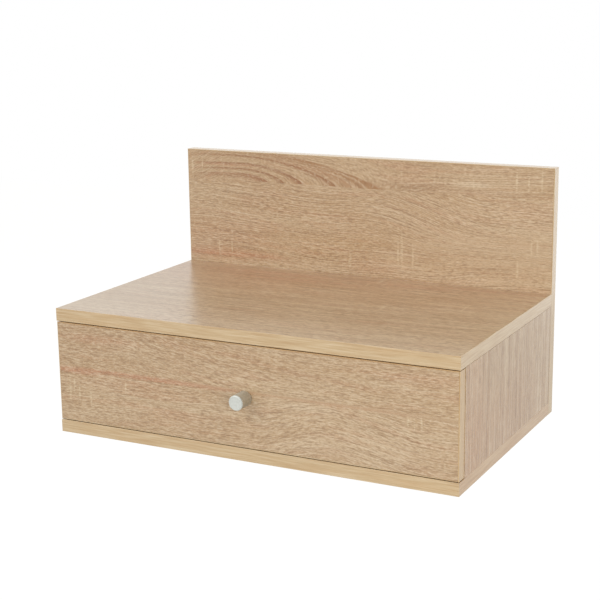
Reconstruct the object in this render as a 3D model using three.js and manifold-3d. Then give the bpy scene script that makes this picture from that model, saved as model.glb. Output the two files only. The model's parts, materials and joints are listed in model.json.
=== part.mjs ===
// Wall-hung nightstand: a back panel on the wall carries an open shelf over a drawer box,
// and the drawer runs on two steel runners with plastic rollers.
// Millimetres, +X to the right, +Z up, and the drawer opens toward -Y.
// The origin is on the wall, in the middle of the four wall screw holes.

import * as THREE from 'three';
import { mergeVertices } from 'three/addons/utils/BufferGeometryUtils.js';
import Module from 'manifold-3d';

const wasm = await Module();
wasm.setup();

// Cabinet
const cabinetWidth = 500;
const shelfDepth = 300;
const boxHeight = 150;
const backPanelHeight = 300;
const backPanelThickness = 15;
const boardThickness = 15;
const bandThickness = 1;
const bandEdgeRadius = 0.4;

// Gaps, clearances and the overrun of every cut
const contactGap = 0.1;
const fastenerGap = 0.3;
const cutOverrun = 1;
const woodCover = 3;

// Drawer
const drawerFrontGap = 1;
const drawerFrontSideInset = 0.5;
const drawerFrontBackGap = 0.3;
const drawerBoardThickness = 15;
const drawerLift = 14;
const drawerHeadroom = 22;
const drawerRearSpace = 35;
const drawerBottomThickness = 3;
const grooveInset = 12;
const grooveDepth = 7;
const grooveGap = 0.2;

// Knob and its screw
const knobRadius = 8.7;
const knobLength = 22;
const knobDrop = 1.2;
const knobRimChamfer = 0.9;
const knobScrewRadius = 2;
const knobScrewHeadRadius = 4;
const knobScrewHeadHeight = 2.4;
const knobScrewGripShare = 0.5;

// Runners
const runnerSpace = 12.5;
const sheetThickness = 1.2;
const railSetback = 2;
const railClearance = 1.3;
const rollerRadius = 9;
const rollerEdgeChamfer = 0.7;
const rollerGap = 0.3;
const rollerHeadroom = 1;
const axleRadius = 2;
const axleShoulderFlange = 1.5;
const axleHeadFlange = 1.2;
const axleHeadLength = 0.8;
const axleHeadClearance = 0.9;
const axleEndMargin = 2;
const lipHeight = 1.8;
const lipGap = 0.4;
const trackOverhang = 0.5;
const trackEndGap = 2;
const footReach = 12;
const stopHeight = 3;
const openStopInset = 17.9; // stops the drawer after 190 of travel
const runnerScrewShares = [0.2, 0.75];

// Countersunk runner screws
const runnerScrewRadius = 1.75;
const runnerScrewHeadRadius = 3.5;
const runnerScrewHeadHeight = 1.9;
const runnerScrewTip = 2;

// Carcass screws with a countersunk head and a thick shoulder
const carcassScrewLength = 50;
const carcassScrewRadius = 2.6;
const carcassScrewHeadRadius = 5;
const carcassScrewHeadHeight = 3.2;
const carcassShoulderRadius = 3.5;
const carcassShoulderLength = 13;
const carcassScrewTip = 3;
const headRecess = 0.5;
const screwPointShare = 0.35;
const backScrewInset = 90;
const drawerScrewShares = { lower: 0.25, upper: 0.8 };

// Cam locks and the bolts that they pull
const camRadius = 7.5;
const camSetback = 24;
const camSlotLength = 10;
const camSlotWidth = 1.8;
const camSlotDepth = 2;
const camBoltThreadRadius = 2.5;
const camBoltTip = 1.2;
const camBoltCollarRadius = 3.6;
const camBoltCollarLength = 2;
const camBoltShankRadius = 2.75;
const camBoltNeckRadius = 1.6;
const camBoltNeckLength = 3.5;
const camBoltHeadRadius = 3.2;
const camBoltHeadLength = 3;
const camPocketGap = 0.5;
const cabinetCamSetback = 60;

// Wall screw holes
const wallHoleRadius = 2.5;
const wallHoleHeadRadius = 4.75;
const wallHoleHeadDepth = 2.3;
const wallHoleInset = 45;
const wallHoleHeightInset = 30;

// Facets of a full turn
const fastenerFacets = 12;
const camFacets = 32;
const rollerFacets = 24;
const knobFacets = 48;
const bandArcFacets = 3;

const looks = {
  oakFace: { color: 0xbda07d, roughness: 0.5, metalness: 0 },
  oakBand: { color: 0xcbb086, roughness: 0.5, metalness: 0 },
  whiteBoard: { color: 0xe9e7e2, roughness: 0.6, metalness: 0 },
  nickel: { color: 0xced1ca, roughness: 0.28, metalness: 1 },
  whiteSteel: { color: 0xe6e6e3, roughness: 0.4, metalness: 0.1 },
  zincSteel: { color: 0xaeb0b2, roughness: 0.35, metalness: 1 },
  zincCasting: { color: 0x9b9c9e, roughness: 0.5, metalness: 1 },
  rollerPlastic: { color: 0xf0efea, roughness: 0.45, metalness: 0 },
};

// Planes and lines that the pieces share; heights here count from the underside of the box
const bandSkin = bandThickness + contactGap;
const halfWidth = cabinetWidth / 2;
const innerHalfWidth = halfWidth - boardThickness;
const ceilingHeight = boxHeight - boardThickness;
const shelfRear = -backPanelThickness;
const cabinetFront = shelfRear - shelfDepth;
const drawerFrontRear = cabinetFront + boardThickness;
const sidePanelFront = drawerFrontRear + drawerFrontBackGap;
const drawerHalfWidth = innerHalfWidth - runnerSpace;
const drawerInnerHalfWidth = drawerHalfWidth - drawerBoardThickness;
const drawerUnderside = boardThickness + drawerLift;
const drawerTop = ceilingHeight - drawerHeadroom;
const drawerFrontStart = drawerFrontRear + contactGap;
const drawerRear = shelfRear - drawerRearSpace;
const grooveLow = drawerUnderside + grooveInset;
const grooveHigh = grooveLow + drawerBottomThickness + 2 * grooveGap;
const frontHalfWidth = halfWidth - drawerFrontSideInset;
const frontLow = boardThickness + drawerFrontGap;
const frontHigh = ceilingHeight - drawerFrontGap;
const frontMiddle = (frontLow + frontHigh) / 2;
const knobHeight = frontMiddle - knobDrop;
const wallHoleLow = boardThickness + wallHoleHeightInset;
const wallHoleHigh = ceilingHeight - wallHoleHeightInset;

const xAxis = new THREE.Vector3(1, 0, 0);
const yAxis = new THREE.Vector3(0, 1, 0);
const zAxis = new THREE.Vector3(0, 0, 1);
const sides = [
  { name: 'left', sign: -1 },
  { name: 'right', sign: 1 },
];

const at = (x, y, z) => new THREE.Vector3(x, y, z);
const facing = (axis, sign) => axis.clone().multiplyScalar(sign);

function toSolid(geometry) {
  const bare = geometry.clone();
  bare.deleteAttribute('normal');
  bare.deleteAttribute('uv');
  const welded = mergeVertices(bare);
  const corners = welded.index.array;
  const triangles = [];
  for (let i = 0; i < corners.length; i += 3) {
    const [a, b, c] = [corners[i], corners[i + 1], corners[i + 2]];
    if (a !== b && b !== c && c !== a) {
      triangles.push(a, b, c);
    }
  }
  const vertProperties = new Float32Array(welded.attributes.position.array);
  const triVerts = new Uint32Array(triangles);
  return new wasm.Manifold(new wasm.Mesh({ numProp: 3, vertProperties, triVerts }));
}

function toGeometry(solid) {
  const mesh = solid.getMesh();
  const geometry = new THREE.BufferGeometry();
  geometry.setAttribute('position', new THREE.BufferAttribute(mesh.vertProperties, 3));
  geometry.setIndex(new THREE.BufferAttribute(mesh.triVerts, 1));
  geometry.computeVertexNormals();
  return geometry;
}

function joined(...geometries) {
  return toGeometry(geometries.map(toSolid).reduce((whole, piece) => whole.add(piece)));
}

function cutAway(geometry, cutters) {
  return toGeometry(cutters.map(toSolid).reduce((rest, cutter) => rest.subtract(cutter), toSolid(geometry)));
}

function boxBetween(low, high) {
  const size = high.clone().sub(low);
  const centre = low.clone().add(high).divideScalar(2);
  return new THREE.BoxGeometry(size.x, size.y, size.z).translate(centre.x, centre.y, centre.z);
}

// A turned piece is a list of radius and distance pairs, from its outer end inward along +Y
function turned(outline, facets) {
  const points = outline.map(([radius, distance]) => new THREE.Vector2(radius, distance));
  points.unshift(new THREE.Vector2(0, points[0].y));
  points.push(new THREE.Vector2(0, points[points.length - 1].y));
  return new THREE.LatheGeometry(points, facets);
}

// The hole for a turned piece: wider and deeper by the gap, with its mouth run past the surface
function turnedHole(outline, gap, facets) {
  const wider = outline.map(([radius, distance]) => [radius + gap, distance + gap]);
  wider[0][1] = outline[0][1];
  wider.unshift([wider[0][0], outline[0][1] - headRecess - cutOverrun]);
  return turned(wider, facets);
}

function aimed(geometry, seat, direction) {
  const turn = new THREE.Quaternion().setFromUnitVectors(yAxis, direction);
  return geometry.applyQuaternion(turn).translate(seat.x, seat.y, seat.z);
}

function addMesh(group, name, geometry, look) {
  const mesh = new THREE.Mesh(geometry, new THREE.MeshStandardMaterial(looks[look]));
  mesh.name = name;
  group.add(mesh);
  return mesh;
}

// Fasteners, each with the pieces that it passes through
const runnerScrewLength = Math.min(boardThickness, drawerBoardThickness) - woodCover;
const runnerScrewOutline = [
  [runnerScrewHeadRadius, 0],
  [runnerScrewRadius, runnerScrewHeadHeight],
  [runnerScrewRadius, runnerScrewLength - runnerScrewTip],
  [runnerScrewRadius * screwPointShare, runnerScrewLength],
];
const carcassScrewOutline = [
  [carcassScrewHeadRadius, 0],
  [carcassShoulderRadius, carcassScrewHeadHeight],
  [carcassShoulderRadius, carcassShoulderLength],
  [carcassScrewRadius, carcassShoulderLength],
  [carcassScrewRadius, carcassScrewLength - carcassScrewTip],
  [carcassScrewRadius * screwPointShare, carcassScrewLength],
];
const knobScrewOutline = [
  [knobScrewHeadRadius, 0],
  [knobScrewHeadRadius, knobScrewHeadHeight],
  [knobScrewRadius, knobScrewHeadHeight],
  [knobScrewRadius, boardThickness + knobLength * knobScrewGripShare],
];
const wallHoleOutline = [
  [wallHoleHeadRadius, 0],
  [wallHoleRadius, wallHoleHeadDepth],
  [wallHoleRadius, backPanelThickness + cutOverrun],
];

// A cam bolt from the head in its lock to the tip of its thread, with zero at the joint
const camBoltGrip = boardThickness - woodCover;
const camBoltOutline = [
  [camBoltHeadRadius, -camSetback - camBoltHeadLength / 2],
  [camBoltHeadRadius, -camSetback + camBoltHeadLength / 2],
  [camBoltNeckRadius, -camSetback + camBoltHeadLength / 2],
  [camBoltNeckRadius, -camSetback + camBoltHeadLength / 2 + camBoltNeckLength],
  [camBoltShankRadius, -camSetback + camBoltHeadLength / 2 + camBoltNeckLength],
  [camBoltShankRadius, -camBoltCollarLength],
  [camBoltCollarRadius, -camBoltCollarLength],
  [camBoltCollarRadius, -contactGap],
  [camBoltThreadRadius, -contactGap],
  [camBoltThreadRadius, camBoltGrip - camBoltTip],
  [camBoltThreadRadius * screwPointShare, camBoltGrip],
];
const camBoltThreadOutline = [
  [camBoltThreadRadius, 0],
  [camBoltThreadRadius, camBoltGrip],
];
const camBoltBoreOutline = [
  [camBoltCollarRadius, 0],
  [camBoltCollarRadius, camSetback - camRadius + cutOverrun],
];

// Runner geometry, with u the distance from the cabinet's inner wall toward the drawer
const railWebFace = contactGap + sheetThickness;
const drawerWebFace = runnerSpace - contactGap - sheetThickness;
const railReach = drawerWebFace - railClearance;
const railLipStart = railReach - sheetThickness;
const rollerStart = railWebFace + axleHeadClearance + axleHeadLength + rollerGap;
const rollerEnd = railLipStart - lipGap;
const rollerWidth = rollerEnd - rollerStart;
const rollerChamfer = Math.min(rollerEdgeChamfer, rollerWidth / 4);
const channelHeight = 2 * rollerRadius + rollerHeadroom;
const trackTop = channelHeight - lipHeight - lipGap;
const trackUnderside = trackTop - sheetThickness;
const frontAxleHeight = trackUnderside - rollerGap - rollerRadius;
const rearAxleHeight = rollerGap + rollerRadius;
const railFront = sidePanelFront + railSetback;
const frontAxleY = railFront + rollerRadius + axleEndMargin;
const rearAxleY = drawerRear - rollerRadius - axleEndMargin;
const railChannelFront = frontAxleY + rollerRadius + trackEndGap;
const railStopFace = rearAxleY + rollerRadius + rollerGap;
const railRear = railStopFace + sheetThickness;
const openStopFace = railChannelFront + openStopInset;
const screwRows = (front, rear) => runnerScrewShares.map((share) => front + share * (rear - front));
const cabinetRailScrewRows = screwRows(railChannelFront, railRear);
const drawerRailScrewRows = screwRows(drawerFrontStart, rearAxleY);
const floorScrewY = (cabinetRailScrewRows[0] + cabinetRailScrewRows[1]) / 2;
const alongRunner = (side, u, y, z) => at(side.sign * (innerHalfWidth - u), y, drawerUnderside + z);

const cabinet = new THREE.Group();
cabinet.position.z = -(wallHoleLow + wallHoleHigh) / 2;
const drawer = new THREE.Group();
cabinet.add(drawer);

const holes = [];
function addHole(pieces, outline, seat, direction, facets = fastenerFacets) {
  holes.push({ pieces, outline, seat, direction, facets });
}

function addFastener(group, name, outline, seat, direction, look, pieces) {
  const mesh = addMesh(group, name, turned(outline, fastenerFacets), look);
  mesh.position.copy(seat);
  mesh.quaternion.setFromUnitVectors(yAxis, direction);
  addHole(pieces, outline, seat, direction);
}

const holesFor = (piece) =>
  holes
    .filter((hole) => hole.pieces.includes(piece))
    .map((hole) => aimed(turnedHole(hole.outline, fastenerGap, hole.facets), hole.seat, hole.direction));

for (const side of sides) {
  const outward = facing(xAxis, side.sign);
  const inward = facing(xAxis, -side.sign);

  ['front', 'rear'].forEach((end, row) => {
    addFastener(
      cabinet,
      `${side.name}_cabinet_rail_screw_${end}`,
      runnerScrewOutline,
      alongRunner(side, railWebFace, cabinetRailScrewRows[row], channelHeight / 2),
      outward,
      'zincSteel',
      [`${side.name}_side_panel`, `${side.name}_cabinet_rail`],
    );
    addFastener(
      drawer,
      `${side.name}_drawer_rail_screw_${end}`,
      runnerScrewOutline,
      alongRunner(side, drawerWebFace, drawerRailScrewRows[row], grooveInset / 2),
      inward,
      'zincSteel',
      [`${side.name}_drawer_side`, `${side.name}_drawer_rail`],
    );
  });

  for (const [level, height] of [['upper', boxHeight - boardThickness / 2], ['lower', boardThickness / 2]]) {
    addFastener(
      cabinet,
      `${side.name}_back_panel_screw_${level}`,
      carcassScrewOutline,
      at(side.sign * (halfWidth - backScrewInset), -headRecess, height),
      facing(yAxis, -1),
      'zincSteel',
      ['back_panel', level === 'upper' ? 'top_panel' : 'bottom_panel'],
    );
  }

  addFastener(
    cabinet,
    `${side.name}_side_panel_screw`,
    carcassScrewOutline,
    at(side.sign * (halfWidth - boardThickness / 2), floorScrewY, headRecess),
    zAxis,
    'zincSteel',
    ['bottom_panel', `${side.name}_side_panel`],
  );

  for (const [level, share] of Object.entries(drawerScrewShares)) {
    const height = grooveHigh + share * (drawerTop - grooveHigh);
    addFastener(
      drawer,
      `${side.name}_drawer_back_screw_${level}`,
      carcassScrewOutline,
      at(side.sign * (drawerHalfWidth - headRecess), drawerRear - drawerBoardThickness / 2, height),
      inward,
      'zincSteel',
      [`${side.name}_drawer_side`, 'drawer_back'],
    );
  }
}

addFastener(
  drawer,
  'drawer_knob_screw',
  knobScrewOutline,
  at(0, drawerFrontRear - headRecess, knobHeight),
  facing(yAxis, -1),
  'zincSteel',
  ['drawer_front', 'drawer_knob'],
);

// A cam lock joint: the lock lies in one board, and its bolt is screwed into the other
function addCamJoint(group, name, joint, intoBoard, lockFace, boardGauge, carrier, receiver) {
  const lockLength = boardGauge - woodCover;
  const intoLock = facing(lockFace, -1);
  const lockCentre = joint.clone().addScaledVector(intoBoard, -camSetback);
  const lockSeat = lockCentre.clone().addScaledVector(lockFace, boardGauge / 2);
  const lockOutline = [
    [camRadius, contactGap],
    [camRadius, lockLength],
  ];
  const slotDepth = camSlotDepth + cutOverrun;
  const slot = new THREE.BoxGeometry(camSlotLength, slotDepth, camSlotWidth);
  slot.translate(0, camSlotDepth - slotDepth / 2, 0);
  const pocketLength = camRadius + camBoltHeadRadius + cutOverrun;
  const pocket = new THREE.CylinderGeometry(
    camBoltHeadRadius + camPocketGap,
    camBoltHeadRadius + camPocketGap,
    pocketLength,
    fastenerFacets,
  );
  pocket.translate(0, pocketLength / 2 - camBoltHeadRadius, 0);
  const turnBack = new THREE.Quaternion().setFromUnitVectors(yAxis, intoLock).invert();
  pocket.applyQuaternion(new THREE.Quaternion().setFromUnitVectors(yAxis, intoBoard));
  pocket.applyQuaternion(turnBack);
  pocket.translate(0, boardGauge / 2, 0);
  const lock = addMesh(
    group,
    `${name}_cam_lock`,
    cutAway(turned(lockOutline, camFacets), [slot, pocket]),
    'zincCasting',
  );
  lock.position.copy(lockSeat);
  lock.quaternion.setFromUnitVectors(yAxis, intoLock);
  const bolt = addMesh(group, `${name}_cam_bolt`, turned(camBoltOutline, fastenerFacets), 'zincSteel');
  bolt.position.copy(joint);
  bolt.quaternion.setFromUnitVectors(yAxis, intoBoard);
  addHole([carrier], lockOutline, lockSeat, intoLock, camFacets);
  addHole([carrier], camBoltBoreOutline, joint, facing(intoBoard, -1));
  addHole([receiver], camBoltThreadOutline, joint, intoBoard);
}

for (const side of sides) {
  const inward = facing(xAxis, -side.sign);
  addCamJoint(
    cabinet,
    `${side.name}_side_panel`,
    at(side.sign * (halfWidth - boardThickness / 2), sidePanelFront + cabinetCamSetback, ceilingHeight),
    zAxis,
    inward,
    boardThickness,
    `${side.name}_side_panel`,
    'top_panel',
  );
  addCamJoint(
    drawer,
    `${side.name}_drawer_side`,
    at(side.sign * (drawerHalfWidth - drawerBoardThickness / 2), drawerFrontRear, frontMiddle),
    facing(yAxis, -1),
    inward,
    drawerBoardThickness,
    `${side.name}_drawer_side`,
    'drawer_front',
  );
}

// Boards
function addBoard(group, name, low, high, look, cutters = []) {
  const centre = low.clone().add(high).divideScalar(2);
  const geometry = cutAway(boxBetween(low, high), [...cutters, ...holesFor(name)]);
  const mesh = addMesh(group, name, geometry.translate(-centre.x, -centre.y, -centre.z), look);
  mesh.position.copy(centre);
}

// An edge band fills the box between two corners, with its outer long edges rounded
function addBand(group, name, low, high, outward, along) {
  const across = new THREE.Vector3().crossVectors(along, outward);
  const size = high.clone().sub(low);
  const [depth, width, length] = [outward, across, along].map((axis) => Math.abs(size.dot(axis)));
  const radius = Math.min(bandEdgeRadius, depth, width / 2);
  const section = new THREE.Shape();
  section.moveTo(-depth / 2, -width / 2);
  section.lineTo(depth / 2 - radius, -width / 2);
  section.absarc(depth / 2 - radius, radius - width / 2, radius, -Math.PI / 2, 0, false);
  section.absarc(depth / 2 - radius, width / 2 - radius, radius, 0, Math.PI / 2, false);
  section.lineTo(-depth / 2, width / 2);
  section.closePath();
  const strip = new THREE.ExtrudeGeometry(section, {
    depth: length,
    bevelEnabled: false,
    curveSegments: bandArcFacets,
  });
  strip.translate(0, 0, -length / 2);
  strip.applyMatrix4(new THREE.Matrix4().makeBasis(outward, across, along));
  addMesh(group, name, strip, 'oakBand').position.copy(low).add(high).divideScalar(2);
}

const wallHoles = [];
for (const side of sides) {
  for (const height of [wallHoleLow, wallHoleHigh]) {
    const mouth = at(side.sign * (innerHalfWidth - wallHoleInset), shelfRear, height);
    wallHoles.push(aimed(turnedHole(wallHoleOutline, 0, fastenerFacets), mouth, yAxis));
  }
}

addBoard(
  cabinet,
  'back_panel',
  at(bandSkin - halfWidth, shelfRear, 0),
  at(halfWidth - bandSkin, 0, backPanelHeight - bandSkin),
  'oakFace',
  wallHoles,
);
addBand(
  cabinet,
  'back_panel_top_band',
  at(-halfWidth, shelfRear, backPanelHeight - bandThickness),
  at(halfWidth, 0, backPanelHeight),
  zAxis,
  xAxis,
);
for (const side of sides) {
  addBand(
    cabinet,
    `back_panel_${side.name}_band`,
    at(side.sign * (halfWidth - bandThickness / 2) - bandThickness / 2, shelfRear, 0),
    at(side.sign * (halfWidth - bandThickness / 2) + bandThickness / 2, 0, backPanelHeight - bandSkin),
    facing(xAxis, side.sign),
    zAxis,
  );
}

const flatPanels = [
  { name: 'top_panel', low: ceilingHeight, high: boxHeight },
  { name: 'bottom_panel', low: 0, high: boardThickness },
];
for (const panel of flatPanels) {
  addBoard(
    cabinet,
    panel.name,
    at(bandSkin - halfWidth, cabinetFront + bandSkin, panel.low),
    at(halfWidth - bandSkin, shelfRear - contactGap, panel.high),
    'oakFace',
  );
  addBand(
    cabinet,
    `${panel.name}_front_band`,
    at(-halfWidth, cabinetFront, panel.low),
    at(halfWidth, cabinetFront + bandThickness, panel.high),
    facing(yAxis, -1),
    xAxis,
  );
  for (const side of sides) {
    const middle = side.sign * (halfWidth - bandThickness / 2);
    addBand(
      cabinet,
      `${panel.name}_${side.name}_band`,
      at(middle - bandThickness / 2, cabinetFront + bandSkin, panel.low),
      at(middle + bandThickness / 2, shelfRear - contactGap, panel.high),
      facing(xAxis, side.sign),
      yAxis,
    );
  }
}

for (const side of sides) {
  const middle = side.sign * (halfWidth - boardThickness / 2);
  addBoard(
    cabinet,
    `${side.name}_side_panel`,
    at(middle - boardThickness / 2, sidePanelFront, boardThickness + contactGap),
    at(middle + boardThickness / 2, shelfRear - contactGap, ceilingHeight - contactGap),
    'oakFace',
  );
}

// Drawer
const drawerBackFace = drawerRear - drawerBoardThickness;
const grooveHalfWidth = drawerInnerHalfWidth + grooveDepth;
const grooveStart = drawerFrontRear - grooveDepth;
const grooveEnd = drawerBackFace + grooveDepth;

addBoard(
  drawer,
  'drawer_front',
  at(bandSkin - frontHalfWidth, cabinetFront, frontLow + bandSkin),
  at(frontHalfWidth - bandSkin, drawerFrontRear, frontHigh - bandSkin),
  'oakFace',
  [
    boxBetween(
      at(-grooveHalfWidth, grooveStart, grooveLow),
      at(grooveHalfWidth, drawerFrontRear + cutOverrun, grooveHigh),
    ),
  ],
);
for (const [edge, low, sign] of [['top', frontHigh - bandThickness, 1], ['bottom', frontLow, -1]]) {
  addBand(
    drawer,
    `drawer_front_${edge}_band`,
    at(bandSkin - frontHalfWidth, cabinetFront, low),
    at(frontHalfWidth - bandSkin, drawerFrontRear, low + bandThickness),
    facing(zAxis, sign),
    xAxis,
  );
}
for (const side of sides) {
  const middle = side.sign * (frontHalfWidth - bandThickness / 2);
  addBand(
    drawer,
    `drawer_front_${side.name}_band`,
    at(middle - bandThickness / 2, cabinetFront, frontLow),
    at(middle + bandThickness / 2, drawerFrontRear, frontHigh),
    facing(xAxis, side.sign),
    zAxis,
  );
  const boardMiddle = side.sign * (drawerHalfWidth - drawerBoardThickness / 2);
  const grooveMiddle = side.sign * (drawerInnerHalfWidth + (grooveDepth - cutOverrun) / 2);
  const grooveSpan = (grooveDepth + cutOverrun) / 2;
  addBoard(
    drawer,
    `${side.name}_drawer_side`,
    at(boardMiddle - drawerBoardThickness / 2, drawerFrontStart, drawerUnderside),
    at(boardMiddle + drawerBoardThickness / 2, drawerRear, drawerTop),
    'oakFace',
    [
      boxBetween(
        at(grooveMiddle - grooveSpan, drawerFrontStart - cutOverrun, grooveLow),
        at(grooveMiddle + grooveSpan, drawerRear + cutOverrun, grooveHigh),
      ),
    ],
  );
}
addBoard(
  drawer,
  'drawer_back',
  at(contactGap - drawerInnerHalfWidth, drawerBackFace, drawerUnderside),
  at(drawerInnerHalfWidth - contactGap, drawerRear, drawerTop),
  'oakFace',
  [
    boxBetween(
      at(-grooveHalfWidth, drawerBackFace - cutOverrun, grooveLow),
      at(grooveHalfWidth, grooveEnd, grooveHigh),
    ),
  ],
);
addMesh(
  drawer,
  'drawer_bottom',
  boxBetween(
    at(fastenerGap - grooveHalfWidth, grooveStart + fastenerGap, grooveLow + grooveGap),
    at(grooveHalfWidth - fastenerGap, grooveEnd - fastenerGap, grooveHigh - grooveGap),
  ),
  'whiteBoard',
);

// The knob is turned from its base outward
const knobOutline = [
  [knobRadius, contactGap],
  [knobRadius, knobLength - knobRimChamfer],
  [knobRadius - knobRimChamfer, knobLength],
];
addMesh(
  drawer,
  'drawer_knob',
  cutAway(
    aimed(turned(knobOutline, knobFacets), at(0, cabinetFront, knobHeight), facing(yAxis, -1)),
    holesFor('drawer_knob'),
  ),
  'nickel',
);

// Runners
function rolledSection(side, corners, rearY, frontY) {
  const section = new THREE.Shape(
    corners.map(([u, z]) => new THREE.Vector2(side.sign * (innerHalfWidth - u), drawerUnderside + z)),
  );
  const bar = new THREE.ExtrudeGeometry(section, { depth: rearY - frontY, bevelEnabled: false });
  return bar.rotateX(Math.PI / 2).translate(0, rearY, 0);
}

function runnerBox(side, uLow, uHigh, yLow, yHigh, zLow, zHigh) {
  const a = alongRunner(side, uLow, yLow, zLow);
  const b = alongRunner(side, uHigh, yHigh, zHigh);
  return boxBetween(a.clone().min(b), a.clone().max(b));
}

// An axle grows out of its rail's web, with a shoulder before the roller and a riveted head after it
function axle(side, u, direction, y, z) {
  const web = sheetThickness / 2;
  const shoulderEnd = Math.abs((direction > 0 ? rollerStart : rollerEnd) - u) - rollerGap;
  const rollerFar = shoulderEnd + 2 * rollerGap + rollerWidth;
  const outline = [
    [axleRadius + axleShoulderFlange, -web],
    [axleRadius + axleShoulderFlange, shoulderEnd],
    [axleRadius, shoulderEnd],
    [axleRadius, rollerFar],
    [axleRadius + axleHeadFlange, rollerFar],
    [axleRadius + axleHeadFlange, rollerFar + axleHeadLength],
  ];
  return aimed(
    turned(outline, fastenerFacets),
    alongRunner(side, u, y, z),
    facing(xAxis, -side.sign * direction),
  );
}

function addRoller(group, name, side, y, z) {
  const bore = axleRadius + rollerGap;
  const outline = [
    [bore, 0],
    [rollerRadius - rollerChamfer, 0],
    [rollerRadius, rollerChamfer],
    [rollerRadius, rollerWidth - rollerChamfer],
    [rollerRadius - rollerChamfer, rollerWidth],
    [bore, rollerWidth],
    [bore, 0],
  ];
  const ring = new THREE.LatheGeometry(outline.map(([r, d]) => new THREE.Vector2(r, d)), rollerFacets);
  const roller = addMesh(group, name, toGeometry(toSolid(ring)), 'rollerPlastic');
  roller.position.copy(alongRunner(side, rollerStart, y, z));
  roller.quaternion.setFromUnitVectors(yAxis, facing(xAxis, -side.sign));
}

for (const side of sides) {
  const channel = rolledSection(
    side,
    [
      [contactGap, -sheetThickness],
      [railReach, -sheetThickness],
      [railReach, lipHeight],
      [railLipStart, lipHeight],
      [railLipStart, 0],
      [railWebFace, 0],
      [railWebFace, channelHeight],
      [railLipStart, channelHeight],
      [railLipStart, channelHeight - lipHeight],
      [railReach, channelHeight - lipHeight],
      [railReach, channelHeight + sheetThickness],
      [contactGap, channelHeight + sheetThickness],
    ],
    railRear,
    railChannelFront,
  );
  const channelTop = channelHeight + sheetThickness;
  const frontWeb = runnerBox(
    side,
    contactGap,
    railWebFace,
    railFront,
    railChannelFront + cutOverrun,
    -sheetThickness,
    channelTop,
  );
  const closedStop = runnerBox(
    side,
    contactGap,
    railReach,
    railStopFace,
    railRear,
    -sheetThickness,
    channelTop,
  );
  const openStop = runnerBox(
    side,
    railWebFace,
    railLipStart + sheetThickness / 2,
    openStopFace - sheetThickness,
    openStopFace,
    -sheetThickness / 2,
    stopHeight,
  );
  addMesh(
    cabinet,
    `${side.name}_cabinet_rail`,
    cutAway(
      joined(
        channel,
        frontWeb,
        closedStop,
        openStop,
        axle(side, railWebFace, 1, frontAxleY, frontAxleHeight),
      ),
      holesFor(`${side.name}_cabinet_rail`),
    ),
    'whiteSteel',
  );
  addRoller(cabinet, `${side.name}_front_roller`, side, frontAxleY, frontAxleHeight);

  const drawerWebBack = drawerWebFace + sheetThickness;
  const trackStart = rollerStart - trackOverhang;
  const trackRear = rearAxleY - rollerRadius - trackEndGap;
  const angle = rolledSection(
    side,
    [
      [drawerWebFace, -contactGap - sheetThickness],
      [drawerWebBack + footReach, -contactGap - sheetThickness],
      [drawerWebBack + footReach, -contactGap],
      [drawerWebBack, -contactGap],
      [drawerWebBack, trackTop],
      [drawerWebFace, trackTop],
    ],
    drawerRear,
    drawerFrontStart,
  );
  const track = runnerBox(
    side,
    trackStart,
    drawerWebFace + sheetThickness / 2,
    drawerFrontStart,
    trackRear,
    trackUnderside,
    trackTop,
  );
  addMesh(
    drawer,
    `${side.name}_drawer_rail`,
    cutAway(
      joined(angle, track, axle(side, drawerWebFace, -1, rearAxleY, rearAxleHeight)),
      holesFor(`${side.name}_drawer_rail`),
    ),
    'whiteSteel',
  );
  addRoller(drawer, `${side.name}_rear_roller`, side, rearAxleY, rearAxleHeight);
}

const group = new THREE.Group();
group.add(cabinet);

export default group;
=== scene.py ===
import json
import math

import bmesh
import bpy
from mathutils import Matrix, Vector


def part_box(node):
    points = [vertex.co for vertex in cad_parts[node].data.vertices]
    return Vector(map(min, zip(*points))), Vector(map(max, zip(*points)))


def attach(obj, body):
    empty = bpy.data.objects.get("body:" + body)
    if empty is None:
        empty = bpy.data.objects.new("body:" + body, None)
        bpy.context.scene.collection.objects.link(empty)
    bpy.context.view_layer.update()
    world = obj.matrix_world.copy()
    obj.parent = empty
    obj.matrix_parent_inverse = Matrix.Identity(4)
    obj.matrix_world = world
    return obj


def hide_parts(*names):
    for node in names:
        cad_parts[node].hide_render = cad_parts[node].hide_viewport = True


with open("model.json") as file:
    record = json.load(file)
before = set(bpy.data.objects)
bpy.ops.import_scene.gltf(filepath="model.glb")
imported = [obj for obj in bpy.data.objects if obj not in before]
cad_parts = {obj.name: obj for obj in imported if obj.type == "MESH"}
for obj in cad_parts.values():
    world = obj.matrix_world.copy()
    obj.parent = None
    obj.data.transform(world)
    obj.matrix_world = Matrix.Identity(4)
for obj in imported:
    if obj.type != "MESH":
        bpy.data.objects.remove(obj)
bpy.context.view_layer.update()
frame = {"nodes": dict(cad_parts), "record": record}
cadNodes = frame["nodes"]
bodyOf = {}
for body, members in frame["record"]["behaviour"]["bodies"].items():
    bodyOf.update(dict.fromkeys(members, body))
slotOf = {part["node"]: part["material_slot"] for part in frame["record"]["subparts"]}
print("frame loaded with", len(cadNodes), "pieces")

mm = 0.001


def linear(hexCode):  # sRGB "#RRGGBB" to linear light
    shares = [int(hexCode[i:i + 2], 16) / 255 for i in (1, 3, 5)]
    return [s / 12.92 if s <= 0.04045 else ((s + 0.055) / 1.055) ** 2.4 for s in shares] + [1.0]


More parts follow.
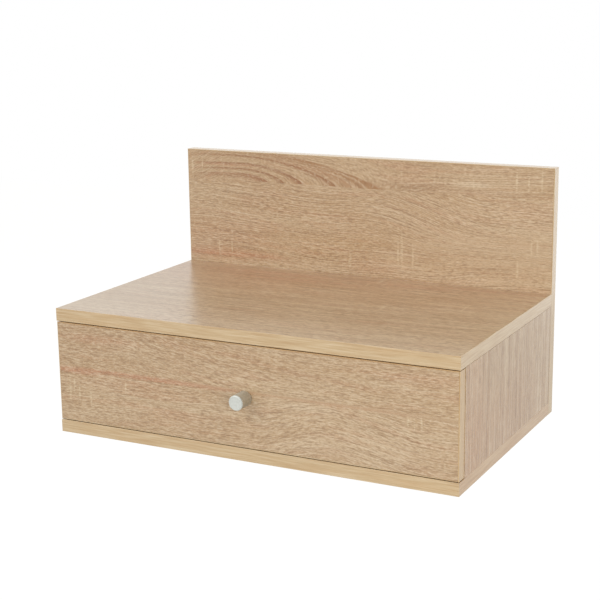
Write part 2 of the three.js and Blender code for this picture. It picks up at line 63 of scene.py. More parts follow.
def addNode(tree, kind, inputs=None, stops=None, **settings):
    node = tree.nodes.new("ShaderNode" + kind)
    for name, value in settings.items():
        setattr(node, name, value)
    for name, value in (inputs or {}).items():
        if isinstance(value, bpy.types.NodeSocket):
            tree.links.new(value, node.inputs[name])
        else:
            node.inputs[name].default_value = value
    if stops:
        while len(node.color_ramp.elements) < len(stops):
            node.color_ramp.elements.new(1.0)
        for element, (position, colour) in zip(node.color_ramp.elements, stops):
            element.position = position
            element.color = linear(colour)
    return node


def startMaterial(name, values):
    # values: what is the same all over the surface, set on the shader's own sockets
    material = bpy.data.materials.new(name)
    material.use_nodes = True
    shader = material.node_tree.nodes["Principled BSDF"]
    for socket, value in values.items():
        shader.inputs[socket].default_value = value
    return material, material.node_tree, shader


def paint(node, material):
    cadNodes[node].data.materials.clear()
    cadNodes[node].data.materials.append(material)


# Camera, where the photograph was taken from
photoCamera = {
    "place": (0.73087, -1.59393, 0.45802),
    "azimuth": 27.356,
    "elevation": 13.375,
    "roll": -0.761,
    "lens": 84.359,
    "sensor": 36.0,
}
azimuth = math.radians(photoCamera["azimuth"])
elevation = math.radians(photoCamera["elevation"])
back = Vector((
    math.sin(azimuth) * math.cos(elevation),
    -math.cos(azimuth) * math.cos(elevation),
    math.sin(elevation),
))
right = Vector((math.cos(azimuth), math.sin(azimuth), 0.0))
aim = Matrix((right, back.cross(right), back)).transposed().to_4x4()
cameraData = bpy.data.cameras.new("photo camera")
cameraData.lens = photoCamera["lens"]
cameraData.sensor_width = photoCamera["sensor"]
camera = bpy.data.objects.new("photo camera", cameraData)
roll = Matrix.Rotation(math.radians(photoCamera["roll"]), 4, "Z")
camera.matrix_world = Matrix.Translation(photoCamera["place"]) @ aim @ roll
bpy.context.scene.collection.objects.link(camera)
bpy.context.scene.camera = camera
bpy.context.scene.view_settings.view_transform = "Standard"
print("camera placed")

# Studio: a white tent all round, a large soft box high on the left, a small one on the right, and two dim
# reflector boards behind, which only show as the sheen on the shelf and on the right-hand edges
studio = {
    "tentLight": 0.67,  # the light that the tent gives
    "tentSeen": 1.0,  # how bright the camera and shiny pieces see it
    "floorHeight": -0.95,
    "floorHalfWidth": 6.0,
    "floorTones": [(0.3, "#C4C3C0"), (0.7, "#CAC9C6")],
    "floorFibre": 2.5 * mm,
    "floorFinish": {"Roughness": 0.9, "Specular IOR Level": 0.1},
    "floorGlowShare": 0.6,
    "floorGlow": 1.4,
    "softBoxes": {
        "large soft box": {"place": (-2.3, -3.9, 2.83), "side": 3.8, "power": 77.5},
        "small soft box": {"place": (1.8, -1.8, 0.54), "side": 1.3, "power": 19.5, "mirrored": False},
        "left reflector": {"place": (-2.2, 3.9, 1.1), "side": 3.0, "power": 6.0},
        "right reflector": {"place": (1.15, 2.6, -0.04), "side": 1.1, "power": 2.6},
    },
}


def seenDirectly(tree):
    # 1 for the camera and for rays that a shiny or clear piece sends on, 0 for plain light
    ray = addNode(tree, "LightPath").outputs
    seen = addNode(
        tree, "Math", {0: ray["Is Camera Ray"], 1: ray["Is Glossy Ray"]}, operation="MAXIMUM",
    ).outputs[0]
    return addNode(tree, "Math", {0: seen, 1: ray["Is Transmission Ray"]}, operation="MAXIMUM").outputs[0]


def paperFloor():
    # matt studio paper: its shadow side stays soft, and the camera and shiny pieces see it as plain white
    material, tree, shader = startMaterial("matt studio paper", studio["floorFinish"])
    place = addNode(tree, "TexCoord").outputs["Object"]
    fibre = addNode(tree, "TexNoise", {"Vector": place, "Scale": 1 / studio["floorFibre"], "Detail": 3.0})
    tone = addNode(tree, "ValToRGB", {"Fac": fibre.outputs["Fac"]}, stops=studio["floorTones"])
    tree.links.new(tone.outputs["Color"], shader.inputs["Base Color"])
    share = addNode(
        tree, "Math", {0: seenDirectly(tree), 1: studio["floorGlowShare"]}, operation="MULTIPLY",
    ).outputs[0]
    glow = addNode(tree, "Emission", {"Strength": studio["floorGlow"]}).outputs[0]
    both = addNode(tree, "MixShader", {0: share, 1: shader.outputs[0], 2: glow}).outputs[0]
    tree.links.new(both, tree.nodes["Material Output"].inputs["Surface"])
    return material


world = bpy.data.worlds.new("studio tent")
world.use_nodes = True
bpy.context.scene.world = world
background = world.node_tree.nodes["Background"]
background.inputs["Color"].default_value = linear("#FFFFFF")
tent = addNode(
    world.node_tree,
    "MapRange",
    {"Value": seenDirectly(world.node_tree), "To Min": studio["tentLight"], "To Max": studio["tentSeen"]},
)
world.node_tree.links.new(tent.outputs[0], background.inputs["Strength"])

for name, softBox in studio["softBoxes"].items():
    lamp = bpy.data.lights.new(name, "AREA")
    lamp.shape = "SQUARE"
    lamp.size = softBox["side"]
    lamp.energy = softBox["power"]
    stand = bpy.data.objects.new(name, lamp)
    stand.location = softBox["place"]
    stand.rotation_euler = Vector(softBox["place"]).to_track_quat("Z", "Y").to_euler()
    # the small one's mirror image would burn out the shelf when it is seen from behind
    stand.visible_glossy = softBox.get("mirrored", True)
    bpy.context.scene.collection.objects.link(stand)

half = studio["floorHalfWidth"]
low = studio["floorHeight"]
floorCorners = [(-half, -half, low), (half, -half, low), (half, half, low), (-half, half, low)]
floorMesh = bpy.data.meshes.new("studio floor")
floorMesh.from_pydata(floorCorners, [], [(0, 1, 2, 3)])
floorMesh.materials.append(paperFloor())
floor = bpy.data.objects.new("studio floor", floorMesh)
bpy.context.scene.collection.objects.link(floor)
print("studio lit")


# Oak boards. Distances here are in millimetres from the middle of the wall face: along the grain, then across
oakPrint = {
    "ground": [(0.34, "#B8976F"), (0.50, "#BC9D77"), (0.66, "#C0A37E")],
    "reddish": "#BA8A65",
    "stain": "#B97F5A",
    "amber": "#C49062",
    "pore": "#86613D",
    "pale": "#DEC9AA",
    "sawn": "#DFCBA8",
    # painted sheen: the pale cool tint laid where the shelf mirrors the room
    "paintedSheen": "#C0AB8C",
    "ringDark": "#9A7049",
    # length along the grain and width across it, in millimetres
    "cloudSize": (200, 26),
    "reddishSize": (90, 8),
    "streakSize": (110, 1.5),
    "poreSize": (9, 1.15),  # real pores are 0.3 mm wide and would not show
    "fleckSize": (3.6, 1.1),
    "patchSize": (70, 28),
    "sawnSize": (1.5, 26),
    "warpSize": (150, 60),
    "warpDrop": 11,
    "staveShift": (417, 133),  # how far the print moves along and across at each joint of two staves
    "seedStep": 100,
    "offGrid": 1.003,  # short marks lie between the noise's grid planes, where they don't line up
    # where each layer starts in its noise, and where it is full
    "reddishCut": (0.50, 0.70),
    "brokenCut": (0.15, 0.42),
    "darkStreakCut": (0.47, 0.30),
    "paleStreakCut": (0.53, 0.70),
    "patchCut": (0.35, 0.65),
    "poreCut": (0.41, 0.33),
    "rayCut": (0.58, 0.68),
    "darkFleckCut": (0.40, 0.32),
    "paleFleckCut": (0.60, 0.68),
    "sawnCut": (0.62, 0.74),
    "markCut": (0.38, 0.55),
    # how strongly each layer is printed
    "reddening": 0.34,
    "brokenAbove": 0.3,  # shades stronger than this are broken up along the streaks
    "streaks": 0.55,
    "pores": 0.56,
    "rays": 0.40,
    "flecks": 0.28,
    "barestPatch": 0.6,  # share of the pores that is left between the thick patches
    "sawing": 0.2,
    "marks": 0.5,
    "faintestMark": 0.3,
    # strength of the painted sheen
    "paintedSheenShare": 0.42,
    # the clear resin on top
    "roughness": 0.25,
    "poreRoughness": 0.04,
    "poreDepth": 0.006,
    "ior": 1.68,
}
# what a board has none of unless its own dictionary says so
plainBoard = {
    "look": {},
    "joints": [],
    "bends": [],
    "bendsBelow": 1000,
    "arch": None,
    "shades": [],
    "sawMarks": [],
    "paintedSheenStretch": [],
    # share of the streaks and pores that is left above the joint
    "upperStreaks": 1.0,
    "upperPores": 1.0,
}


def streakMask(tree, flat, streaks):
    # one soft-ended streak each: (along, across, half length, half width)
    fullWithin = 0.3
    mask = None
    for along, across, halfLength, halfWidth in streaks:
        size = (1 / halfLength, 1 / halfWidth, 0)
        shift = (-along / halfLength, -across / halfWidth, 0)
        stretched = addNode(tree, "VectorMath", {0: flat, 1: size, 2: shift}, operation="MULTIPLY_ADD")
        reach = addNode(tree, "VectorMath", {0: stretched.outputs[0]}, operation="LENGTH").outputs["Value"]
        inside = addNode(
            tree, "MapRange", {"Value": reach, "From Min": 1.0, "From Max": fullWithin},
        ).outputs[0]
        if mask:
            inside = addNode(tree, "Math", {0: mask, 1: inside}, operation="MAXIMUM").outputs[0]
        mask = inside
    return mask


def bentGrain(tree, board, along, across, through):
    # distance across the grain, bent where the photograph shows it. Each bend drops along the grain from its
    # start to its end, and fades in between two heights. The paper seems to wrap round the edges, so the
    # distance through the board counts too
    bent = addNode(tree, "Math", {0: across, 1: through}, operation="ADD").outputs[0]
    below = addNode(tree, "Math", {0: across, 1: board["bendsBelow"]}, operation="LESS_THAN").outputs[0]
    for start, end, drop, low, high in board["bends"]:
        reached = addNode(
            tree,
            "MapRange",
            {"Value": along, "From Min": start, "From Max": end, "To Max": drop},
            interpolation_type="SMOOTHSTEP",
        ).outputs[0]
        inside = addNode(
            tree,
            "MapRange",
            {"Value": across, "From Min": low, "From Max": high},
            interpolation_type="SMOOTHSTEP",
        ).outputs[0]
        inside = addNode(tree, "Math", {0: inside, 1: below}, operation="MULTIPLY").outputs[0]
        bent = addNode(tree, "Math", {0: reached, 1: inside, 2: bent}, operation="MULTIPLY_ADD").outputs[0]
    return bent


def archReach(tree, arch, along, across):
    # distance from the centre of a cathedral, drawn out sideways, and where it shows: above the joint, and
    # fading to both sides
    aside = addNode(tree, "Math", {0: along, 1: arch["centre"][0]}, operation="SUBTRACT").outputs[0]
    flatter = addNode(tree, "Math", {0: aside, 1: arch["leftShare"]}, operation="MULTIPLY").outputs[0]
    aside = addNode(tree, "Math", {0: aside, 1: flatter}, operation="MAXIMUM").outputs[0]
    aside = addNode(
        tree, "Math", {0: aside, 1: arch["reach"] * arch["stretch"]}, operation="DIVIDE",
    ).outputs[0]
    aside = addNode(tree, "Math", {0: aside}, operation="TANH").outputs[0]
    aside = addNode(tree, "Math", {0: aside, 1: arch["reach"]}, operation="MULTIPLY").outputs[0]
    above = addNode(tree, "Math", {0: across, 1: arch["centre"][1]}, operation="SUBTRACT").outputs[0]
    spoke = addNode(tree, "CombineXYZ", {"X": aside, "Y": above}).outputs[0]
    reach = addNode(tree, "VectorMath", {0: spoke}, operation="LENGTH").outputs["Value"]
    shown = addNode(tree, "Math", {0: across, 1: arch["above"]}, operation="GREATER_THAN").outputs[0]
    for full, gone in arch["fades"]:
        fade = addNode(
            tree,
            "MapRange",
            {"Value": along, "From Min": full, "From Max": gone, "To Min": 1.0, "To Max": 0.0},
        ).outputs[0]
        shown = addNode(tree, "Math", {0: shown, 1: fade}, operation="MULTIPLY").outputs[0]
    return reach, shown


def archRings(tree, arch, reach, wander):
    # a tint for each ring of the cathedral: late wood darkens up to the ring and stops there
    wobble = addNode(
        tree, "Math", {0: wander, 1: arch["wobble"], 2: reach}, operation="MULTIPLY_ADD",
    ).outputs[0]
    scaled = addNode(tree, "Math", {0: wobble, 1: arch["ringSpan"]}, operation="DIVIDE").outputs[0]
    untinted = "#FFFFFF"
    stops = [(0.0, untinted)]
    for radius, width, tint in arch["rings"]:
        stops.append(((radius - width) / arch["ringSpan"], untinted))
        stops.append(((radius - arch["ringEdge"]) / arch["ringSpan"], tint))
        stops.append(((radius + arch["ringEdge"]) / arch["ringSpan"], untinted))
    return addNode(tree, "ValToRGB", {"Fac": scaled}, stops=stops).outputs["Color"]


def oakMelamine(board):
    # oak melamine: printed paper pressed on chipboard under clear resin. The grain, pores and pale saw marks
    # are all in the print, under a smooth skin that mirrors the room at a low angle
    board = {**plainBoard, **board}
    look = {**oakPrint, **board["look"]}
    material, tree, shader = startMaterial(
        "oak melamine, " + board["node"], {"Roughness": look["roughness"], "IOR": look["ior"]},
    )
    place = addNode(tree, "TexCoord").outputs["Object"]
    inMm = addNode(tree, "VectorMath", {0: place, "Scale": 1 / mm}, operation="SCALE")
    parts = addNode(tree, "SeparateXYZ", {0: inMm.outputs[0]})
    along = parts.outputs[board["along"]]
    across = parts.outputs[board["across"]]
    flat = addNode(tree, "CombineXYZ", {"X": along, "Y": across}).outputs[0]
    bent = bentGrain(tree, board, along, across, parts.outputs[board["through"]])
    arch = board["arch"]
    if arch:
        reach, shown = archReach(tree, arch, along, across)
        moved = addNode(tree, "Math", {0: reach, 1: arch["level"]}, operation="ADD").outputs[0]
        bent = addNode(tree, "Mix", {0: shown, 2: bent, 3: moved}).outputs[0]

    # printed staves: each joint shifts the grain beyond it
    stave = addNode(tree, "Value").outputs[0]
    for joint in board["joints"]:
        past = addNode(tree, "Math", {0: across, 1: joint}, operation="GREATER_THAN").outputs[0]
        stave = addNode(tree, "Math", {0: stave, 1: past}, operation="ADD").outputs[0]
    shiftAlong, shiftAcross = look["staveShift"]
    alongStave = addNode(
        tree, "Math", {0: stave, 1: shiftAlong, 2: along}, operation="MULTIPLY_ADD",
    ).outputs[0]
    acrossStave = addNode(
        tree, "Math", {0: stave, 1: shiftAcross, 2: bent}, operation="MULTIPLY_ADD",
    ).outputs[0]

    # the grain wanders a little everywhere
    seed = board["seed"] * look["seedStep"]
    wide = addNode(tree, "CombineXYZ", {"X": alongStave, "Y": acrossStave, "Z": seed}).outputs[0]
    warpLength, warpWidth = look["warpSize"]
    slow = addNode(
        tree,
        "VectorMath",
        {0: wide, 1: (1 / warpLength, 1 / warpWidth, 1 / look["seedStep"])},
        operation="MULTIPLY",
    ).outputs[0]
    wander = addNode(tree, "TexNoise", {"Vector": slow, "Scale": 1.0, "Detail": 1.0}).outputs["Fac"]
    warped = addNode(
        tree, "Math", {0: wander, 1: look["warpDrop"], 2: acrossStave}, operation="MULTIPLY_ADD",
    ).outputs[0]
    grain = addNode(tree, "CombineXYZ", {"X": alongStave, "Y": warped, "Z": seed}).outputs[0]

    noise = {}
    for layer in ("cloud", "reddish", "streak", "pore", "fleck", "patch", "sawn"):
        length, width = look[layer + "Size"]
        short = layer in ("pore", "fleck")
        size = (1 / length, 1 / width, look["offGrid"] if short else 1.0)
        start = flat if layer == "sawn" else grain
        drawn = addNode(tree, "VectorMath", {0: start, 1: size}, operation="MULTIPLY").outputs[0]
        detail = 0.0 if short else 2.0
        noise[layer] = addNode(
            tree, "TexNoise", {"Vector": drawn, "Scale": 1.0, "Detail": detail},
        ).outputs["Fac"]

    colour = addNode(tree, "ValToRGB", {"Fac": noise["cloud"]}, stops=look["ground"]).outputs["Color"]

    def lay(mask, tint, strength):
        # lays one colour over what is there, where the mask is white: print, or painted light or shade
        share = addNode(tree, "Math", {0: mask, 1: strength}, operation="MULTIPLY").outputs[0]
        return addNode(
            tree, "Mix", {0: share, 6: colour, 7: linear(look[tint])}, data_type="RGBA",
        ).outputs[2]

    def cut(layer, name, least=0.0):
        # the part of a noise layer beyond its start, as a mask
        start, full = look[name + "Cut"]
        return addNode(
            tree, "MapRange", {"Value": noise[layer], "From Min": start, "From Max": full, "To Min": least},
        ).outputs[0]

    colour = lay(cut("reddish", "reddish"), "reddish", look["reddening"])
    # the board's shades: mostly print, and where its list says so, painted light or shade
    for tint, strength, streaks in board["shades"]:
        shade = streakMask(tree, flat, streaks)
        if strength > look["brokenAbove"]:
            shade = addNode(
                tree, "Math", {0: shade, 1: cut("streak", "broken")}, operation="MULTIPLY",
            ).outputs[0]
        colour = lay(shade, tint, strength)
    if arch:
        rings = archRings(tree, arch, reach, noise["cloud"])
        colour = addNode(
            tree, "Mix", {0: shown, 6: colour, 7: rings}, data_type="RGBA", blend_type="MULTIPLY",
        ).outputs[2]

    # long fine streaks, then short dark pores and pale rays, thicker in some patches than in others
    even = addNode(
        tree, "MapRange", {"Value": stave, "To Min": 1.0, "To Max": board["upperStreaks"]},
    ).outputs[0]
    if arch:
        quiet = addNode(
            tree, "MapRange", {"Value": shown, "To Min": 1.0, "To Max": arch["streaks"]},
        ).outputs[0]
        even = addNode(tree, "Math", {0: even, 1: quiet}, operation="MULTIPLY").outputs[0]
    for name, tint in (("darkStreak", "pore"), ("paleStreak", "pale")):
        lines = addNode(tree, "Math", {0: cut("streak", name), 1: even}, operation="MULTIPLY").outputs[0]
        colour = lay(lines, tint, look["streaks"])
    thinned = addNode(
        tree, "MapRange", {"Value": stave, "To Min": 1.0, "To Max": board["upperPores"]},
    ).outputs[0]
    patch = addNode(
        tree, "Math", {0: cut("patch", "patch", look["barestPatch"]), 1: thinned}, operation="MULTIPLY",
    ).outputs[0]
    pores = addNode(tree, "Math", {0: cut("pore", "pore"), 1: patch}, operation="MULTIPLY").outputs[0]
    rays = addNode(tree, "Math", {0: cut("pore", "ray"), 1: patch}, operation="MULTIPLY").outputs[0]
    colour = lay(cut("fleck", "darkFleck"), "pore", look["flecks"])
    colour = lay(cut("fleck", "paleFleck"), "pale", look["flecks"])
    colour = lay(pores, "pore", look["pores"])
    colour = lay(rays, "pale", look["rays"])

    # rough-sawn marks: faint ones in patches everywhere, and the clear ones where the photograph has them
    sawn = addNode(
        tree, "Math", {0: cut("sawn", "sawn"), 1: noise["patch"]}, operation="MULTIPLY",
    ).outputs[0]
    colour = lay(sawn, "sawn", look["sawing"])
    if board["sawMarks"]:
        broken = cut("fleck", "mark", look["faintestMark"])
        marks = streakMask(tree, flat, board["sawMarks"])
        marks = addNode(tree, "Math", {0: marks, 1: broken}, operation="MULTIPLY").outputs[0]
        colour = lay(marks, "sawn", look["marks"])
    # painted sheen: a plain pale cool tint that washes out the grain where the shelf mirrors the room
    if board["paintedSheenStretch"]:
        colour = lay(streakMask(tree, flat, board["paintedSheenStretch"]), "paintedSheen", look["paintedSheenShare"])
    tree.links.new(colour, shader.inputs["Base Color"])

    dents = addNode(
        tree, "Bump", {"Distance": look["poreDepth"] * mm, "Height": pores}, invert=True,
    ).outputs[0]
    tree.links.new(dents, shader.inputs["Normal"])
    dullest = look["roughness"] + look["poreRoughness"]
    dull = addNode(
        tree, "MapRange", {"Value": pores, "To Min": look["roughness"], "To Max": dullest},
    ).outputs[0]
    tree.links.new(dull, shader.inputs["Roughness"])
    return material


# Each bend is (start, end, drop, none at, full at) and each shade (tint, strength, streaks); most shades are
# print, and some are painted light or shade. Each streak, saw mark and painted sheen stretch is (along,
# across, half length, half width)
backPanel = {
    "node": "back_panel",
    "along": "X", "across": "Z", "through": "Y",
    "seed": 3,
    "joints": [187],
    "bendsBelow": 187,
    "upperPores": 0.65,
    "bends": [(-240, -40, 10, 60, 80), (0, 190, 40, 85, 150), (90, 210, -14, 150, 85)],
    "arch": {
        "centre": (-174, 180),
        "above": 187,
        "level": 138,
        "reach": 56,
        "stretch": 2.85,
        "leftShare": 0.4,
        "fades": [(25, 110), (-195, -262)],  # full at, gone at
        "wobble": 3.0,
        "streaks": 0.45,
        "rings": [  # radius, width of its late wood, tint
            (18.5, 8, "#D0B194"),
            (25, 3.5, "#CFB196"),
            (32, 4, "#CBA988"),
            (42, 4, "#D2B494"),
            (50.5, 9, "#DCC2A4"),
        ],
        "ringSpan": 60.6,
        "ringEdge": 0.5,
    },
    "shades": [
        ("reddish", 0.6, [(-205, 88, 100, 12), (-230, 86, 90, 3.5), (-190, 207, 60, 3)]),
        ("stain", 0.6, [(-190, 88.5, 110, 3.6)]),
        ("reddish", 0.28, [(-210, 110, 110, 40), (20, 88, 60, 16), (225, 170, 60, 14)]),
        ("ringDark", 0.34, [(62, 194, 75, 8), (180, 191, 90, 5)]),
        ("pale", 0.45, [(150, 200, 34, 5), (-195, 196, 26, 2.5)]),
        # painted light: pale patches along the lower part of the panel lift the shade that the shelf casts
        # there
        ("pale", 0.22, [(130, 89, 50, 6), (50, 108, 45, 6), (110, 82, 150, 12), (-110, 76, 300, 11)]),
        ("pale", 0.25, [(190, 120, 220, 75)]),
    ],
    "sawMarks": [
        (57, 112, 2.4, 34), (52, 108, 1.8, 20), (72, 105, 1.7, 22), (-14, 94, 2.8, 14),
        (207, 96, 2.0, 18), (-205, 97, 1.5, 14), (-186, 98, 1.4, 12), (224, 128, 1.7, 12),
        (231, 131, 1.7, 12), (150, 201, 1.8, 8), (204, 206, 1.8, 17), (235, 208, 1.8, 18),
        (219, 205, 1.4, 12), (-243, 203, 2.2, 16), (-228, 205, 1.4, 9),
    ],
}
drawerFront = {
    "node": "drawer_front",
    "along": "X", "across": "Z", "through": "Y",
    "seed": 11,
    "joints": [5],
    "upperStreaks": 0.7,
    "bends": [(-170, 30, 22, 4, 8), (5, 110, -18, 6, 4), (80, 230, 17, 6, 4)],
    "look": {"streaks": 0.42, "pores": 0.5, "rays": 0.38, "flecks": 0.32},
    "shades": [
        ("stain", 0.8, [(-130, 5, 180, 4.2), (-225, 2.5, 60, 5)]),
        ("reddish", 0.45, [(-190, 43, 65, 9), (110, 5, 130, 2)]),
        ("reddish", 0.3, [(-150, -8, 110, 12), (-90, -35, 60, 10), (215, 45, 60, 12)]),
        ("ringDark", 0.16, [(-170, 38, 240, 44)]),
        ("pale", 0.3, [(75, -3, 60, 6)]),
        ("pale", 0.16, [(140, -38, 210, 42)]),
    ],
    "sawMarks": [
        (-235, -18, 2.2, 23), (-229, -12, 1.7, 17), (-222, -24, 1.7, 17), (-206, -28, 1.6, 14),
        (-157, -8, 1.6, 9), (193, -3, 1.6, 9), (208, -4, 1.8, 11), (200, -3, 1.4, 9), (234, -44, 1.6, 6),
    ],
}
topPanel = {
    "node": "top_panel",
    "along": "X", "across": "Y", "through": "Z",
    "seed": 19,
    "joints": [-132],
    "look": {
        "ground": [(0.34, "#B08E66"), (0.50, "#BB9C76"), (0.66, "#C6AA84")],
        "cloudSize": (150, 15),
        "streakSize": (120, 3.2),
        "streaks": 0.5,
        "reddening": 0.5,
        "roughness": 0.29,
        "ior": 1.71,
    },
    "shades": [
        ("stain", 0.75, [(-100, -44, 150, 13), (90, -46, 60, 8), (180, -31, 110, 8), (-60, -68, 120, 12)]),
        ("stain", 0.2, [(-60, -30, 520, 60), (-130, -80, 150, 75)]),
        ("stain", 0.12, [(-130, -75, 130, 70)]),
        ("ringDark", 0.07, [(80, -180, 330, 80)]),
        # painted light: pale and amber strips lift the shade on the shelf just in front of the back panel
        ("pale", 0.1, [(40, -26, 460, 44)]),
        ("pale", 0.24, [(20, -12, 1500, 19)]),
        ("amber", 0.18, [(20, -12, 1500, 21)]),
        ("pale", 0.12, [(-50, -25, 230, 20)]),
        ("amber", 0.14, [(-50, -25, 230, 22)]),
        # painted light: a warm tint over the shelf's rear half, the back panel's warm bounce light and
        # reflection
        ("amber", 0.27, [(20, -80, 420, 120)]),
        ("ringDark", 0.3, [(60, -238, 220, 8), (70, -233, 240, 3.5), (40, -245, 150, 3.5)]),
        ("pale", 0.3, [(0, -300, 1500, 58)]),
    ],
    "sawMarks": [
        (38, -35, 3, 22), (48, -48, 2, 16), (30, -60, 2, 12), (-160, -40, 2, 16), (182, -120, 2, 20),
        (95, -160, 3, 16),
    ],
    # painted sheen on the shelf's front left, where it mirrors the bright room
    "paintedSheenStretch": [(-270, -230, 180, 260)],
}
bottomPanel = {
    "node": "bottom_panel",
    "along": "X", "across": "Y", "through": "Z",
    "seed": 27,
    "joints": [-190],
}
sidePanels = {
    "along": "Z", "across": "Y", "through": "X",
    "joints": [-158],
    "look": {
        "ground": [(0.34, "#AB8961"), (0.50, "#BC9D77"), (0.66, "#C9AE89")],
        "cloudSize": (300, 14),
        "streakSize": (150, 3.0),
        "poreSize": (14, 1.6),
        "warpDrop": 6,
        "reddening": 0.12,
        "streaks": 0.6,
        "pores": 0.45,
        "rays": 0.3,
        "flecks": 0.16,
        "ior": 1.58,
    },
    "shades": [
        ("amber", 0.32, [(0, -290, 200, 70)]),
        ("amber", 0.3, [(-50, -240, 85, 260)]),
        ("ringDark", 0.13, [(-50, -240, 85, 260)]),
        ("ringDark", 0.2, [(-30, -260, 75, 7), (-30, -183, 70, 7), (-20, -62, 75, 8), (-20, -293, 80, 4)]),
        ("ringDark", 0.2, [(0, -89, 200, 8)]),
        ("pale", 0.2, [(30, -282, 60, 8), (20, -25, 120, 9)]),
        # painted light: two pale strips along the front edge lift the shade in the gap behind the drawer
        # front
        ("pale", 0.3, [(0, -300, 3000, 3)]),
        ("pale", 0.3, [(0, -300, 3000, 3)]),
    ],
}
drawerBoards = {
    "left_drawer_side": {"along": "Y", "across": "Z", "through": "X", "seed": 41},
    "right_drawer_side": {"along": "Y", "across": "Z", "through": "X", "seed": 43},
    "drawer_back": {"along": "X", "across": "Z", "through": "Y", "seed": 47},
}
boards = [
    backPanel,
    drawerFront,
    topPanel,
    bottomPanel,
    {**sidePanels, "node": "left_side_panel", "seed": 31},
    {**sidePanels, "node": "right_side_panel", "seed": 37},
    *({"node": node, **board} for node, board in drawerBoards.items()),
]
for board in boards:
    paint(board["node"], oakMelamine(board))
print("oak boards finished:", len(boards))


# Edge bands
edgeBand = {
    "tones": [(0.32, "#BF9F75"), (0.46, "#C8AC83"), (0.58, "#CFB58E"), (0.74, "#D8C29F")],
    "streakSize": (38, 1.3),  # millimetres along and across
    "cloudSize": (120, 9),
    "cloud": "#C6A06F",
    "cloudCut": (0.5, 0.72),  # where a cloud starts in its noise, and where it is full
    "cloudShare": 0.4,
    "embossDepth": 0.02 * mm,
    "sheen": {"Roughness": 0.3, "Coat Weight": 0.35, "Coat Roughness": 0.15},
    "seedStep": 7,
    # painted shade: some strips are darkened, the drawer front's top one to deepen the gap above the drawer
    # front, and the right-hand ones to dim the sheen they catch
    "unshadedStrip": "#FFFFFF",
    "shadedStrips": {
        "bottom_panel_right": "#F3E5D5",
        "drawer_front_right": "#FAF1DF",
        "back_panel_right": "#F8F6EF",
        "drawer_front_top": "#F0DEC5",
    },
    # the edges that run along each axis
    "edges": {
        "X": (
            "top_panel_front",
            "bottom_panel_front",
            "back_panel_top",
            "drawer_front_top",
            "drawer_front_bottom",
        ),
        "Y": ("top_panel_left", "top_panel_right", "bottom_panel_left", "bottom_panel_right"),
        "Z": ("back_panel_left", "back_panel_right", "drawer_front_left", "drawer_front_right"),
    },
}


def oakEdgeBand(edge, along, seed):
    # extruded ABS strip with a printed oak top coat and a thin clear lacquer, ironed on: paler and plainer
    # than the board it edges
    material, tree, shader = startMaterial("oak ABS band, " + edge, edgeBand["sheen"])
    place = addNode(tree, "TexCoord").outputs["Object"]
    inMm = addNode(tree, "VectorMath", {0: place, "Scale": 1 / mm}, operation="SCALE").outputs[0]
    noise = {}
    for layer in ("streak", "cloud"):
        length, width = edgeBand[layer + "Size"]
        size = [1 / length if axis == along else 1 / width for axis in "XYZ"]
        drawn = addNode(
            tree, "VectorMath", {0: inMm, 1: size, 2: (seed, seed * 2, seed * 3)}, operation="MULTIPLY_ADD",
        ).outputs[0]
        noise[layer] = addNode(
            tree, "TexNoise", {"Vector": drawn, "Scale": 1.0, "Detail": 3.0},
        ).outputs["Fac"]
    tone = addNode(tree, "ValToRGB", {"Fac": noise["streak"]}, stops=edgeBand["tones"]).outputs["Color"]
    start, full = edgeBand["cloudCut"]
    cloud = addNode(
        tree,
        "MapRange",
        {"Value": noise["cloud"], "From Min": start, "From Max": full, "To Max": edgeBand["cloudShare"]},
    ).outputs[0]
    mixed = addNode(
        tree, "Mix", {0: cloud, 6: tone, 7: linear(edgeBand["cloud"])}, data_type="RGBA",
    ).outputs[2]
    # painted shade: a listed strip's tone is multiplied darker
    stripShade = linear(edgeBand["shadedStrips"].get(edge, edgeBand["unshadedStrip"]))
    shadedTone = addNode(
        tree, "Mix", {0: 1.0, 6: mixed, 7: stripShade}, data_type="RGBA", blend_type="MULTIPLY",
    ).outputs[2]
    tree.links.new(shadedTone, shader.inputs["Base Color"])
    emboss = addNode(
        tree, "Bump", {"Distance": edgeBand["embossDepth"], "Height": noise["streak"]},
    ).outputs[0]
    tree.links.new(emboss, shader.inputs["Normal"])
    return material


for along, edges in edgeBand["edges"].items():
    for count, edge in enumerate(edges):
        paint(edge + "_band", oakEdgeBand(edge, along, count * edgeBand["seedStep"]))
print("edge bands finished")


# Metal, plastic and fibreboard finishes
satinNickelLook = {
    "tones": [(0.3, "#CACCC5"), (0.7, "#D6D8D2")],
    "cloudSize": 2 * mm,
    "roughness": (0.46, 0.56),
    "ringSpacing": 0.35 * mm,  # real lathe rings are 0.1 mm apart and would not show
    "ringDepth": 0.002 * mm,
}
lacqueredFibreboardLook = {
    "tones": [(0.35, "#E0DDD5"), (0.8, "#E8E6DF")],
    "fibreSize": 2.2 * mm,
    "fibreShare": 0.25,
    "cloudSize": 30 * mm,
    "skinDepth": 0.02 * mm,
    "roughness": 0.45,
}
